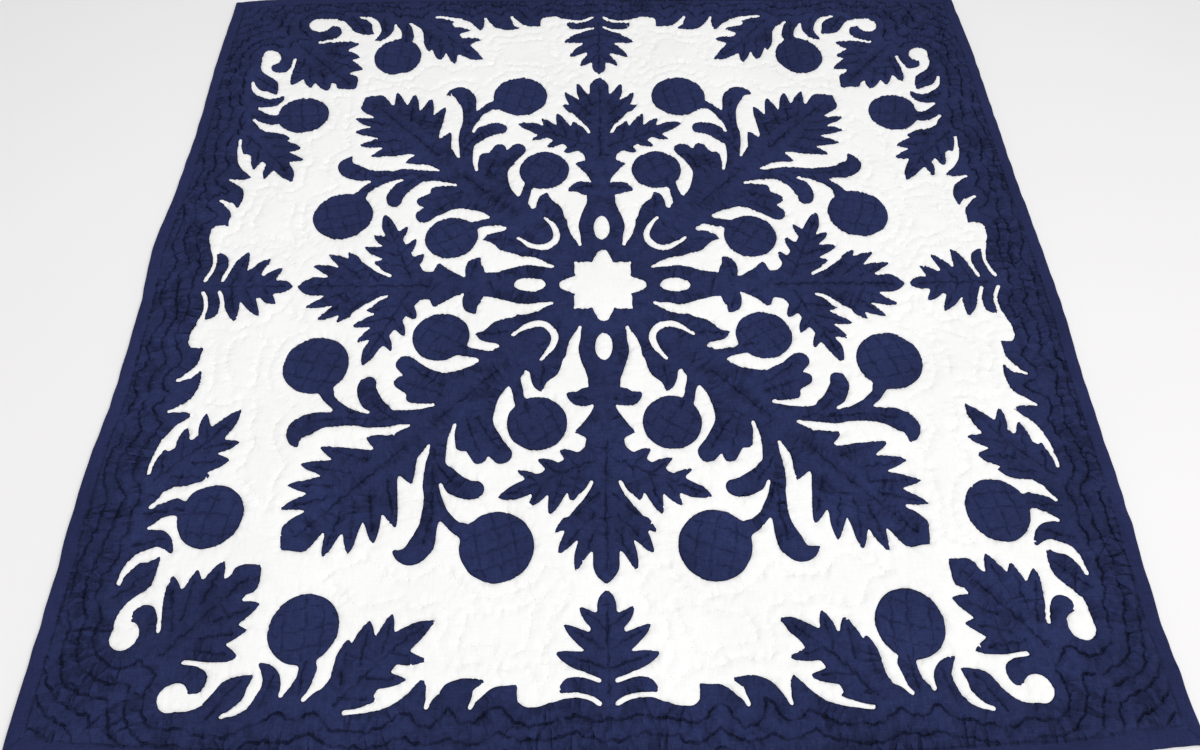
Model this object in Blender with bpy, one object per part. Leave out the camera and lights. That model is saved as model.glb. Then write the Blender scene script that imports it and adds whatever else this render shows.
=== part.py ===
"""Tivaevae wall quilt: a padded, quilted cotton cloth with a bound edge, lying flat, face up.

The body is two cloths with wadding between them, sewn through in rows that echo the lobed
medallion at its middle and square off towards the edge. Four strips of binding are folded
over its edge and mitred at the corners. Metres, +Z up. The origin is on the surface that the
quilt lies on, within a centimetre of the middle of its outline, and -Y is its front edge.
"""

import math
import random

import bmesh
import bpy

MM = 0.001

# The outline: half its width and length, to straight edges that the wander table then moves.
HALF_WIDTH = 540 * MM
HALF_LENGTH = 529.75 * MM

# How far each edge lies outside (+) or inside (-) its straight line, in mm. "along" runs from
# -1 at one corner to 1 at the next: front to back on the left and right, left to right on the
# front and back.
EDGE_WANDER = (
    dict(along=-1.00, left=-2.5, right=-7.0, front=-19.0, back=1.0),
    dict(along=-0.90, left=-1.5, right=-8.5, front=-12.0, back=7.0),
    dict(along=-0.80, left=-1.0, right=-10.5, front=-9.0, back=10.0),
    dict(along=-0.70, left=-0.5, right=-8.0, front=-6.5, back=12.5),
    dict(along=-0.60, left=3.0, right=-5.5, front=-4.5, back=14.0),
    dict(along=-0.45, left=3.5, right=-4.0, front=-1.5, back=14.5),
    dict(along=-0.30, left=-0.5, right=-3.0, front=0.5, back=15.0),
    dict(along=-0.10, left=2.0, right=1.5, front=1.5, back=15.5),
    dict(along=0.10, left=9.0, right=1.5, front=2.0, back=16.0),
    dict(along=0.30, left=3.5, right=0.0, front=1.5, back=16.0),
    dict(along=0.50, left=1.5, right=0.5, front=1.0, back=15.5),
    dict(along=0.75, left=5.0, right=1.5, front=-4.5, back=13.0),
    dict(along=1.00, left=4.0, right=-2.5, front=-16.0, back=7.0),
)

# Each side: whether its edge lies across X or Y, on which side of the origin, the half size
# that it stands at, and the sides at the start and the end of its run.
SIDES = {
    "right": dict(axis="x", sign=1, half=HALF_WIDTH, start="front", end="back"),
    "back": dict(axis="y", sign=1, half=HALF_LENGTH, start="left", end="right"),
    "left": dict(axis="x", sign=-1, half=HALF_WIDTH, start="front", end="back"),
    "front": dict(axis="y", sign=-1, half=HALF_LENGTH, start="left", end="right"),
}

# The medallion's centre.
CENTRE = (0.0, -1.25 * MM)

# The outer reach of the medallion from its centre, over one of its eight mirrored parts.
MEDALLION_REACH = (
    dict(angle_deg=0, reach=362 * MM),
    dict(angle_deg=5, reach=346 * MM),
    dict(angle_deg=10, reach=328 * MM),
    dict(angle_deg=15, reach=345 * MM),
    dict(angle_deg=20, reach=368 * MM),
    dict(angle_deg=25, reach=372 * MM),
    dict(angle_deg=30, reach=384 * MM),
    dict(angle_deg=35, reach=392 * MM),
    dict(angle_deg=40, reach=428 * MM),
    dict(angle_deg=45, reach=459 * MM),
)
INNER_REACH = 395 * MM  # the rows near the centre are parts of a circle of this size

SPOKES_PER_SIDE = 18
STITCH_ROWS_IN_MEDALLION = 22
STITCH_ROWS_IN_BORDER = 11

# Heights above the surface that the quilt lies on.
STITCHED_HEIGHT = 4.2 * MM  # along a row of stitches, where the wadding is pinched
PUFFED_HEIGHT = 7.2 * MM  # midway between two rows
DITCH_HEIGHT = 5.0 * MM  # beside the binding
PUFF_UNEVENNESS = 0.35 * MM  # hand quilting never pinches the wadding twice alike

# Broad, soft rises and hollows of the cloth as it lies.
SWELLS = (
    dict(x=-0.33, y=-0.30, spread=0.15, rise=1.1 * MM),
    dict(x=-0.12, y=-0.44, spread=0.08, rise=-0.7 * MM),
    dict(x=0.27, y=-0.35, spread=0.13, rise=0.9 * MM),
    dict(x=0.44, y=0.02, spread=0.12, rise=-0.6 * MM),
    dict(x=0.06, y=0.05, spread=0.20, rise=0.7 * MM),
    dict(x=-0.42, y=0.20, spread=0.14, rise=0.8 * MM),
    dict(x=0.20, y=0.36, spread=0.16, rise=-0.7 * MM),
)

# The binding is a strip folded over the edge, and the body's rim is a thinner tongue inside it.
BINDING_WIDTH = 15.0 * MM
BINDING_CLOTH = 1.0 * MM
GAP = 0.3 * MM
MITRE_GAP = 0.25 * MM  # drawn back from the corner's diagonal by each of the two strips
TONGUE_TOP = 4.2 * MM
TONGUE_BOTTOM = BINDING_CLOTH + GAP

NEW_POINT_DISTANCE = 1e-5  # points closer than this are one point


def wander(side, along):
    """How far a side lies outside its straight line, eased from row to row of the table."""
    rows = [(row["along"], row[side] * MM) for row in EDGE_WANDER]
    for (start, before), (end, after) in zip(rows, rows[1:]):
        if along <= end:
            share = max(0.0, (along - start) / (end - start))
            return before + (after - before) * (1 - math.cos(math.pi * share)) / 2
    return rows[-1][1]


def edge_point(side, along, inset):
    """A point of a side's edge moved into the cloth by inset, where neighbours share a corner."""
    facts = SIDES[side]
    own_end = facts["sign"]
    out = facts["half"] + wander(side, along) - inset
    start, end = facts["start"], facts["end"]
    low = -(SIDES[start]["half"] + wander(start, own_end) - inset)
    high = SIDES[end]["half"] + wander(end, own_end) - inset
    run = low + (high - low) * (along + 1) / 2
    if facts["axis"] == "x":
        return facts["sign"] * out, run
    return run, facts["sign"] * out


def side_stations():
    """The places along a side, where spokes at even angles from the centre meet it."""
    half = SPOKES_PER_SIDE // 2
    return [math.tan(math.radians(45 * k / half)) for k in range(-half, half + 1)]


def outline(inset):
    """The outline anticlockwise from the front end of the right side, one point a spoke."""
    stations = side_stations()[:-1]
    points = [edge_point("right", s, inset) for s in stations]
    points += [edge_point("back", -s, inset) for s in stations]
    points += [edge_point("left", -s, inset) for s in stations]
    points += [edge_point("front", s, inset) for s in stations]
    return points


def medallion_reach(degrees):
    """The medallion's reach at an angle from +X, folded into its first eighth."""
    folded = degrees % 90
    folded = min(folded, 90 - folded)
    for row, following in zip(MEDALLION_REACH, MEDALLION_REACH[1:]):
        if folded <= following["angle_deg"]:
            span = following["angle_deg"] - row["angle_deg"]
            share = (folded - row["angle_deg"]) / span
            return row["reach"] + (following["reach"] - row["reach"]) * share
    return MEDALLION_REACH[-1]["reach"]


def swell(x, y):
    """The rise of the cloth at a place, from the broad swells."""
    rise = 0.0
    for row in SWELLS:
        apart = math.hypot(x - row["x"], y - row["y"]) / row["spread"]
        rise += row["rise"] * math.exp(-apart * apart)
    return rise


def quilted_ring(half_row, spokes, rim, unevenness):
    """A ring of points on the top: on a row of stitches, or on the puff between two rows."""
    in_medallion = 2 * STITCH_ROWS_IN_MEDALLION
    last = in_medallion + 2 * STITCH_ROWS_IN_BORDER
    ring = []
    for degrees, (rim_x, rim_y) in zip(spokes, rim):
        lobed = medallion_reach(degrees)
        direction = math.cos(math.radians(degrees)), math.sin(math.radians(degrees))
        if half_row <= in_medallion:
            share = half_row / in_medallion
            reach = share * (INNER_REACH + (lobed - INNER_REACH) * share)
            x = CENTRE[0] + reach * direction[0]
            y = CENTRE[1] + reach * direction[1]
        else:
            share = (half_row - in_medallion) / (last - in_medallion)
            start_x = CENTRE[0] + lobed * direction[0]
            start_y = CENTRE[1] + lobed * direction[1]
            x = start_x + (rim_x - start_x) * share
            y = start_y + (rim_y - start_y) * share
        if half_row == last:
            z = DITCH_HEIGHT
        elif half_row % 2:
            z = PUFFED_HEIGHT + swell(x, y)
            z += unevenness.uniform(-PUFF_UNEVENNESS, PUFF_UNEVENNESS)
        else:
            z = STITCHED_HEIGHT + 0.5 * swell(x, y)
        if half_row == 0:
            x, y, z = CENTRE[0], CENTRE[1], PUFFED_HEIGHT
        ring.append((x, y, z))
    return ring


def body_rings():
    """Every ring of the body, from the top's centre over the rim to the underside's centre."""
    rim = outline(BINDING_WIDTH + GAP)
    tongue = outline(BINDING_CLOTH + GAP)
    spokes = [-45 + 360 * k / len(rim) for k in range(len(rim))]
    unevenness = random.Random(31)
    half_rows = 2 * (STITCH_ROWS_IN_MEDALLION + STITCH_ROWS_IN_BORDER)
    rings = [quilted_ring(k, spokes, rim, unevenness) for k in range(half_rows + 1)]
    rings.append([(x, y, TONGUE_TOP) for x, y in rim])
    rings.append([(x, y, TONGUE_TOP) for x, y in tongue])
    rings.append([(x, y, TONGUE_BOTTOM) for x, y in tongue])
    rings.append([(x, y, TONGUE_BOTTOM) for x, y in rim])
    rings.append([(x, y, 0.0) for x, y in rim])
    rings.append([(CENTRE[0], CENTRE[1], 0.0)] * len(rim))
    return rings


def binding_section():
    """The folded strip's cross-section as (inset, height): under the edge, round it and over."""
    underside = [(BINDING_WIDTH, 0.0), (BINDING_WIDTH, BINDING_CLOTH)]
    fold_inside = [(BINDING_CLOTH, BINDING_CLOTH), (BINDING_CLOTH, TONGUE_TOP + GAP)]
    top_edge = [
        (BINDING_WIDTH, TONGUE_TOP + GAP),
        (BINDING_WIDTH - 0.6 * MM, TONGUE_TOP + GAP + BINDING_CLOTH),
    ]
    top = [(8.0 * MM, 6.3 * MM), (2.4 * MM, 5.9 * MM)]
    outer_fold = [(0.0, 4.6 * MM), (0.0, 1.0 * MM), (0.8 * MM, 0.0)]
    return underside + fold_inside + top_edge + top + outer_fold


def binding_rings(side):
    """The section at each station of a side, cut back on the corner's diagonal at each end."""
    sign = 1 if side in ("right", "left") else -1
    rings = []
    for along in side_stations():
        ring = []
        for inset, height in binding_section():
            x, y = edge_point(side, along, inset)
            if abs(abs(along) - 1) < NEW_POINT_DISTANCE:
                back = MITRE_GAP * math.sqrt(2) * math.copysign(1, along)
                x, y = (x, y - back) if sign > 0 else (x - back, y)
            ring.append((x, y, height))
        rings.append(ring)
    return rings


def surface_from_rings(name, rings, closed_ends):
    """A grid wrapped round so that its rows are the rings, each closed on itself."""
    around = len(rings[0])
    mesh = bpy.data.meshes.new(name)
    shell = bmesh.new()
    bmesh.ops.create_grid(shell, x_segments=around, y_segments=len(rings) - 1, size=0.5)
    for point in shell.verts:
        spoke = round((point.co.x + 0.5) * around) % around
        ring = round((point.co.y + 0.5) * (len(rings) - 1))
        point.co = rings[ring][spoke]
    bmesh.ops.remove_doubles(shell, verts=shell.verts[:], dist=NEW_POINT_DISTANCE)
    if not closed_ends:
        bmesh.ops.holes_fill(shell, edges=shell.edges[:], sides=around)
    bmesh.ops.recalc_face_normals(shell, faces=shell.faces[:])
    shell.to_mesh(mesh)
    shell.free()
    return mesh


def cotton(name, colour, roughness):
    """Woven cotton: matt, with no metal in it."""
    material = bpy.data.materials.new(name)
    material.use_nodes = True
    shader = material.node_tree.nodes["Principled BSDF"]
    shader.inputs["Base Color"].default_value = (*colour, 1.0)
    shader.inputs["Roughness"].default_value = roughness
    shader.inputs["Metallic"].default_value = 0.0
    return material


def place(mesh, material, collection, parent):
    """Puts a finished mesh in the quilt's collection, under its empty."""
    mesh.materials.append(material)
    piece = bpy.data.objects.new(mesh.name, mesh)
    collection.objects.link(piece)
    piece.parent = parent
    return piece


for leftover in list(bpy.data.objects):
    bpy.data.objects.remove(leftover, do_unlink=True)

quilt = bpy.data.collections.new("tivaevae quilt")
bpy.context.scene.collection.children.link(quilt)
whole = bpy.data.objects.new("whole_quilt", None)
quilt.objects.link(whole)

white_cotton = cotton("white quilted cotton", (0.76, 0.76, 0.78), 0.9)
navy_cotton = cotton("navy binding cotton", (0.022, 0.037, 0.085), 0.85)

place(surface_from_rings("quilt_body", body_rings(), True), white_cotton, quilt, whole)
for side_name in SIDES:
    strip = surface_from_rings(f"binding_{side_name}", binding_rings(side_name), False)
    place(strip, navy_cotton, quilt, whole)
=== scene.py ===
"""Looks of a tivaevae quilt: a navy cloth folded, cut and sewn to a white one, then quilted by hand.

Lengths in the sections on cloth are in millimetres, in the part's own frame, and meshes are
written in metres. "Across" and "along" are places in the folded cut, "run" and "away" are
places beside a line of stitches.
"""
import math

import bpy
import numpy as np
from mathutils import Matrix, Vector, geometry, kdtree


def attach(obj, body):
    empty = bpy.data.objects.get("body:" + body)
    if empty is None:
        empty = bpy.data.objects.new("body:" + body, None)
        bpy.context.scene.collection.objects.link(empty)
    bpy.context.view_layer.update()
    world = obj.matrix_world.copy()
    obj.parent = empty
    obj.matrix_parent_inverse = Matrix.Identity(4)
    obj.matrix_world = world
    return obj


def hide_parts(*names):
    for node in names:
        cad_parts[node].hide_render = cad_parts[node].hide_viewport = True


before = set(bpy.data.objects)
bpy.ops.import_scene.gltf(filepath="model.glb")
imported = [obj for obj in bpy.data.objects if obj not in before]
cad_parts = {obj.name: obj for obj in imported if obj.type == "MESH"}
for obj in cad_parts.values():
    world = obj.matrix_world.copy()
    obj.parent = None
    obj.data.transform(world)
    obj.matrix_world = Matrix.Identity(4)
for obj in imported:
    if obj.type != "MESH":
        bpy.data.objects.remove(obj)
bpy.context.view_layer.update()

# ---- Where it is seen from, and what it lies on -------------------------------------------
# The quilt lies face up on a plain pale floor. It is looked at from its front edge, at arm's
# length, steeply downwards.
EYE = Vector((-0.0129, -0.60705, 0.8200))
LOOKS_DOWN, TURNS_RIGHT, ROLLS = (math.radians(a) for a in (59.45, 1.05, 0.46))
LENS_PIXELS, PICTURE_PIXELS, SENSOR_MM = 847, 1200, 36

forward = Vector((math.sin(TURNS_RIGHT) * math.cos(LOOKS_DOWN),
                  math.cos(TURNS_RIGHT) * math.cos(LOOKS_DOWN), -math.sin(LOOKS_DOWN)))
level = Vector((math.cos(TURNS_RIGHT), -math.sin(TURNS_RIGHT), 0))
upright = level.cross(forward)
right = level * math.cos(ROLLS) + upright * math.sin(ROLLS)
camera = bpy.data.objects.new("camera", bpy.data.cameras.new("camera"))
bpy.context.scene.collection.objects.link(camera)
frame_of_view = Matrix((right, right.cross(forward), -forward)).transposed()
camera.matrix_world = Matrix.Translation(EYE) @ frame_of_view.to_4x4()
camera.data.sensor_width = SENSOR_MM
camera.data.lens = LENS_PIXELS / PICTURE_PIXELS * SENSOR_MM
camera.data.clip_start = 0.01
bpy.context.scene.camera = camera


def linear(hexes):
    """An sRGB hex colour as the linear RGBA that a shader takes."""
    parts = [int(hexes[k:k + 2], 16) / 255 for k in (0, 2, 4)]
    return [p / 12.92 if p <= 0.04045 else ((p + 0.055) / 1.055) ** 2.4 for p in parts] + [1]


def add_node(material, kind, links=(), **settings):
    """Adds a shader node. Settings name its properties, or its inputs by name or as i and a
    number, and links are (input, node, output)."""
    node = material.node_tree.nodes.new("ShaderNode" + kind)
    for key, value in settings.items():
        if hasattr(node, key):
            setattr(node, key, value)
        else:
            node.inputs[int(key[1:]) if key[0] == "i" and key[1:].isdigit()
                        else key.replace("_", " ")].default_value = value
    for entry, source, output in links:
        material.node_tree.links.new(source.outputs[output], node.inputs[entry])
    return node


def new_material(name):
    """An empty material and its output node."""
    material = bpy.data.materials.new(name)
    material.use_nodes = True
    material.node_tree.nodes.clear()
    return material, add_node(material, "OutputMaterial")


def noise(material, place, **settings):
    """A noise texture over a place, which is a (node, output)."""
    return add_node(material, "TexNoise", [("Vector", *place)], **settings), "Fac"


def blended(material, share, colours):
    """The share of two colours, as a (node, output)."""
    first, second = (linear(hexes) for hexes in colours)
    return add_node(material, "Mix", [("Factor", *share)], data_type="RGBA", i6=first, i7=second), 2


def add_surface(material, end, links, **settings):
    """The shader that a material's colour and bump run into."""
    shader = add_node(material, "BsdfPrincipled", links, **settings)
    material.node_tree.links.new(shader.outputs[0], end.inputs[0])


# Matt painted board: pale, faintly uneven, with no gloss.
painted_board, board_end = new_material("matt_painted_board")
board_place = add_node(painted_board, "TexCoord"), "Object"
board_colour = blended(painted_board, noise(painted_board, board_place, Scale=1.6, Detail=3.0),
                       ("E7E5E3", "EDEBEA"))
add_surface(painted_board, board_end, [("Base Color", *board_colour)], Roughness=0.85)

FLOOR_HALF = 4.0
bpy.ops.object.select_all(action="DESELECT")
bpy.ops.mesh.primitive_plane_add(size=2 * FLOOR_HALF, location=(0, 0, -0.0002))
floor = bpy.context.object
floor.name = "floor"
bpy.ops.object.transform_apply(location=True)
floor.data.materials.append(painted_board)

# Soft daylight: a broad window on the right and in front, and a pale room all round.
LAMPS = (
    dict(name="window", place=(2.15, -1.4, 2.9), size=(1.6, 1.6), watts=70),
    dict(name="room", place=(-0.5, -0.2, 2.2), size=(2.2, 2.2), watts=29),
)
for row in LAMPS:
    lamp = bpy.data.lights.new(row["name"], "AREA")
    lamp.shape, lamp.size, lamp.size_y, lamp.energy = "RECTANGLE", *row["size"], row["watts"]
    holder = bpy.data.objects.new(row["name"], lamp)
    holder.matrix_world = Matrix.Translation(row["place"]) @ (
        -Vector(row["place"])).to_track_quat("-Z", "Y").to_matrix().to_4x4()
    bpy.context.scene.collection.objects.link(holder)
room = bpy.data.worlds.new("room")
room.use_nodes = True
room.node_tree.nodes["Background"].inputs["Color"].default_value = linear("F4F6FB")
room.node_tree.nodes["Background"].inputs["Strength"].default_value = 0.4
bpy.context.scene.world = room
bpy.context.scene.view_settings.view_transform = "Standard"

# ---- How the quilt lies ---------------------------------------------------------------------
# A hand-made cloth that was squared up by eye: each edge wanders a few millimetres from
# straight, and the cloth has broad, soft rises where it isn't pulled quite flat.
HALF_WIDTH, HALF_LENGTH = 540, 529.75
CENTRE = (0, -1.25)  # the middle of the cut pattern
WANDER = dict(
    along=(-1, -.9, -.8, -.7, -.6, -.45, -.3, -.1, .1, .3, .5, .75, 1),
    left=(-2.5, -1.5, -1, -.5, 3, 3.5, -.5, 2, 9, 3.5, 1.5, 5, 4),
    right=(-7, -8.5, -10.5, -8, -5.5, -4, -3, 1.5, 1.5, 0, .5, 1.5, -2.5),
    front=(-19, -12, -9, -6.5, -4.5, -1.5, .5, 1.5, 2, 1.5, 1, -4.5, -16),
    back=(1, 7, 10, 12.5, 14, 14.5, 15, 15.5, 16, 16, 15.5, 13, 7))
SIDES = {
    "right": dict(axis=0, sign=1, half=HALF_WIDTH, start="front", end="back"),
    "back": dict(axis=1, sign=1, half=HALF_LENGTH, start="left", end="right"),
    "left": dict(axis=0, sign=-1, half=HALF_WIDTH, start="front", end="back"),
    "front": dict(axis=1, sign=-1, half=HALF_LENGTH, start="left", end="right"),
}
SWELLS = (  # x, y, spread, rise
    (-330, -300, 150, 1.1), (-120, -440, 80, -0.7), (270, -350, 130, 0.9), (440, 20, 120, -0.6),
    (60, 50, 200, 0.7), (-420, 200, 140, 0.8), (200, 360, 160, -0.7))


def wander(side, along):
    """How far a side lies outside its straight line, eased from row to row of the table."""
    places, out = np.array(WANDER["along"]), np.array(WANDER[side], float)
    row = np.clip(np.searchsorted(places, along) - 1, 0, len(places) - 2)
    share = np.clip((along - places[row]) / (places[row + 1] - places[row]), 0, 1)
    return out[row] + (out[row + 1] - out[row]) * (1 - np.cos(np.pi * share)) / 2


def run_of(side):
    """Where a side's edge starts and ends, at the corners that it shares."""
    facts = SIDES[side]
    start, end = facts["start"], facts["end"]
    return (-SIDES[start]["half"] - wander(start, facts["sign"]),
            SIDES[end]["half"] + wander(end, facts["sign"]))


def edge_point(side, along, inset):
    """Points of a side's edge moved into the cloth by inset. Neighbours share a corner."""
    facts = SIDES[side]
    low, high = run_of(side)
    run = low + inset + (high - low - 2 * inset) * (along + 1) / 2
    out = facts["sign"] * (facts["half"] + wander(side, along) - inset) + 0 * run
    return (out, run) if facts["axis"] == 0 else (run, out)


def edge_line(inset, step):
    """The whole edge at an inset, anticlockwise, with points about a step apart."""
    along = np.linspace(-1, 1, round(2 * HALF_WIDTH / step), endpoint=False)
    sides = [edge_point("right", along, inset), edge_point("back", -along, inset),
             edge_point("left", -along, inset), edge_point("front", along, inset)]
    return np.vstack([np.column_stack(side) for side in sides])


def inset_at(x, y):
    """How far a place lies inside the nearest edge."""
    insets = []
    for side, facts in SIDES.items():
        out, run = (x, y) if facts["axis"] == 0 else (y, x)
        low, high = run_of(side)
        edge = facts["half"] + wander(side, 2 * (run - low) / (high - low) - 1)
        insets.append(edge - facts["sign"] * out)
    return np.minimum.reduce(insets)


def swell(x, y):
    """The rise of the cloth at a place, from the broad swells."""
    return sum(rise * np.exp(-((x - sx) ** 2 + (y - sy) ** 2) / spread ** 2)
               for sx, sy, spread, rise in SWELLS)


def waver(x, y, length, seed, waves=10):
    """A smooth, uneven field of about -1 to 1, whose rises are about a length apart."""
    draw = np.random.default_rng(seed)
    total = 0 * x
    for _ in range(waves):
        turn, phase = draw.uniform(0, 2 * np.pi, 2)
        pitch = 2 * np.pi / (length * draw.uniform(0.7, 1.6))
        total = total + np.sin(pitch * (x * np.cos(turn) + y * np.sin(turn)) + phase)
    return total / math.sqrt(waves)


# ---- The folded cut ---------------------------------------------------------------------------
# The navy cloth is folded into eighths, drawn on freehand and cut through all its layers at
# once, so each stem, leaf and breadfruit is drawn here once, in one eighth: "across" from the
# fold to "along" it. A stroke is a row of (across, along, half width), a leaf's lobe is
# (base across, base along, tip across, tip along, half width at the base, bend).
FOLD = 565
FAR = 40.0
MEDALLION_FILL = [
    [(0, 0, 66), (1, 0, 66)],
    # stem, leaf and tip on the fold
    [(0, 55, 45), (0, 80, 31.5), (0, 95, 29.5), (0, 107, 26.5), (0, 120, 21.5), (0, 130, 18.5),
     (0, 138, 18), (0, 150, 14), (0, 158, 10.5), (0, 166, 12.5), (0, 176, 18), (0, 186, 25),
     (0, 193, 31), (0, 197.5, 33), (0, 200.5, 26), (0, 203, 20.5), (0, 215, 22), (0, 235, 22),
     (0, 250, 16), (0, 262, 17), (0, 275, 21), (0, 300, 17), (0, 320, 14), (0, 335, 13.3),
     (0, 346, 12.8), (0, 355, 8), (0, 362, 0.5)],
    # side leaf
    [(8, 226, 18), (30, 236, 14), (52, 246, 11), (75, 256, 8.5), (90, 263.5, 8.5),
     (100, 267, 6.5), (106, 269.3, 4), (110.5, 270.7, 0.8)],
    # inner breadfruit on its stem
    [(108, 116, 16), (98.5, 136, 7.3), (94.7, 148, 6.3), (92, 158, 6.8), (84, 172, 8)],
    # small leaf of three lobes
    [(140, 150, 26), (134, 183, 14.5), (121, 207, 12), (109, 221.5, 11.3)],
    [(146, 185, 15), (139, 209, 11), (132.5, 225, 8)],
    [(154, 170, 14), (152, 198, 8), (151.5, 210.5, 7)],
    # the two curled fingers, and the stem of the middle breadfruit between them
    [(184, 205, 18), (177, 228, 12), (167, 244, 10.5), (154, 256, 11.5), (142, 261.5, 11),
     (134, 261.5, 9.8)],
    [(130, 312, 10), (148.5, 303, 7.7), (160, 291, 7.7), (171, 272, 9), (182, 245, 12)],
    [(183, 225, 10), (178, 262, 9), (177.5, 285, 9), (179, 303, 10.2), (184, 320, 13.2),
     (193, 330, 12.3), (203, 331, 7.5), (213, 326, 0.8)],
]
BREADFRUIT = {"inner": (73, 185, 32.5), "middle": (109, 323, 37.3), "border": (288, 402, 33.5)}
# the trunk and the big leaf lie on the diagonal: (distance from the middle, half width)
TRUNK = ((40, 40), (70, 43), (100, 41), (120, 42), (140, 27), (170, 23), (210, 30), (247, 19),
         (281, 15), (300, 16), (322, 20), (340, 31), (361, 36), (383, 31), (403, 23), (418, 16.5),
         (428, 18), (438, 19.5), (445, 18), (452, 9), (458, 0.8))
MEDALLION_LOBES = {
    "fold leaf": ((10, 306, 30.5, 349, 8.5, -3), (12, 288, 48, 332, 10, -3),
                  (8, 266, 52, 309, 10.5, 1)),
    "side leaf": ((28, 240, 35.5, 276, 9, 0), (45, 246, 58, 290, 9.5, 1),
                  (62, 252, 79, 281, 8, 2), (68, 256, 92.5, 240, 6, -2),
                  (46, 245, 72, 227.5, 7.5, -2), (26, 236, 49, 216.5, 9, -2)),
    "big leaf": ((269, 284, 281.5, 333, 9.5, 1), (256, 276, 256, 330, 10.5, 0),
                 (242, 266, 232, 320.5, 11, 1), (227, 250, 211, 303, 11, -2)),
}
MEDALLION_WEBS = [  # small fills in the crotches between stems
    [(10, 248, 14), (20, 255, 9), (30, 265, 3)],
    [(216, 212, 18), (210, 228, 14), (204, 244, 7.5), (199, 253, 3), (196.5, 258, 0.8)],
    [(200, 212, 13), (201, 212, 13)],
]
MEDALLION_CUTS = [
    # the eight-petalled star
    [(0, 0, 16), (0, 28, 13.5), (0, 38, 11), (0, 45, 7.2)],
    [(10, 10, 14), (24, 24, 13), (29.5, 29.5, 6.2), (33, 33, 0.3)],
    # the slit beside the side leaf, and the flame between the stems
    [(15, 253.5, 0.7), (18.5, 261, 1.9), (24, 269, 2.6), (31.5, 277.5, 3.4), (41, 287, 5)],
    [(27, 60.5, 0.8), (31.5, 75, 4.8), (35.5, 90, 6.3), (35, 105, 8.6), (36, 120, 14.5),
     (40, 132, 18), (50, 142, 13)],
]
SEED = (87, 9.7, 18.2)  # the white seed on the fold: along, half width, half length
FLAME_FILL = [
    [(8, 150, 10), (20, 153, 11.5), (30, 154, 9.5), (37, 151, 5.5), (42, 147, 0.6)],
    [(62, 98, 17), (67, 116, 17), (71, 129, 11.5), (71.5, 138, 7), (68.3, 147, 0.7)],
    [(88, 108, 10), (90, 116, 5)], [(164, 180, 12), (164, 198, 7), (164, 214, 2)],
    [(174, 248, 12), (168, 264, 7), (162, 274, 2)],
]
SLIT_CUTS = [
    [(86.8, 120, 0.7), (85.8, 129, 2.6), (84.5, 138, 4.6), (83, 148, 6)],
    [(71, 104, 0.8), (65, 96.5, 2.2), (59, 87, 3.3), (56, 77, 3.8), (57.5, 68, 3.9),
     (62, 62, 4), (68, 57, 3.9)],
    [(161, 228, 6), (163, 214, 4.4), (163.3, 202, 3.4), (162.3, 194, 2.1), (161, 186.5, 0.7)],
    [(146, 292, 5), (154, 284, 5), (161, 273.5, 4.3), (166.5, 264, 2.8), (170, 256, 0.7)],
    [(197, 276, 8.5), (194, 259, 5.5), (193.5, 246, 4.6), (192.2, 231, 4.6), (189, 219, 3.4),
     (186.5, 210.5, 0.8)],
]
BORDER_STARTS = 470
BORDER_FILL = [
    # leaf on the fold, with the finger at its foot
    [(0, 367, 0.5), (0, 372, 6), (0, 380, 9.5), (0, 391, 10), (0, 405, 16), (0, 420, 19),
     (0, 432, 21), (0, 441, 16), (0, 449, 9), (0, 458, 8), (0, 480, 9)],
    [(3, 462, 8), (20, 457, 9.5), (34, 456, 8.7), (41.5, 458.5, 5), (45.5, 463.5, 0.8)],
    [(0, 478, 12), (20, 475, 11), (35, 474, 10), (48, 478, 9)],
    # three curling hooks
    [(84.3, 455, 0.8), (94, 463.5, 9.6), (106, 469, 11.5), (120, 482, 16)],
    [(91, 466, 7), (95, 480, 11)],
    [(114, 451, 0.6), (124, 453.2, 4.8), (135, 457, 9), (143, 466, 16), (147, 478, 18)],
    [(172, 447.5, 0.6), (173, 455, 5.8), (178.5, 465, 11.8), (184, 478, 16)],
    [(131, 464, 6.3), (132, 464, 6.3)], [(126, 475, 6), (134, 470, 6)],
    [(171, 468, 4.5), (170, 476, 6)],
    # side leaf
    [(250, 482, 20), (237, 458, 22), (214, 433, 15), (192, 414, 11), (178, 403.5, 8),
     (170, 398.8, 4), (164, 396, 0.8)],
    [(244, 470, 9), (228, 468, 6), (215, 467.5, 1.8)],
    # stem of the border breadfruit, the hook and the wedge beyond it
    [(289, 425, 8), (277.5, 440, 9), (281, 452, 9.5), (288, 470, 13)],
    [(320, 481, 17), (313.5, 470, 13), (309.5, 460, 10), (309.5, 448, 8.3), (316, 438.5, 5.4),
     (325, 432.5, 0.7)],
    [(372, 486, 22), (352, 470, 24), (345, 460, 18), (338, 452, 10.5), (331, 446.5, 4.5),
     (326, 443.5, 0.7)],
    [(256, 462, 7), (265, 466, 7.5), (272, 474, 9)],
    [(430, 452, 30), (400, 448, 17), (386, 446.5, 14), (381, 446.5, 12)],
]
CORNER = ((480, 0.8), (486, 7), (492, 13.5), (500, 17), (510, 14), (531, 22), (549, 32),
          (570, 36), (620, 60), (800, 90))
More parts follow.
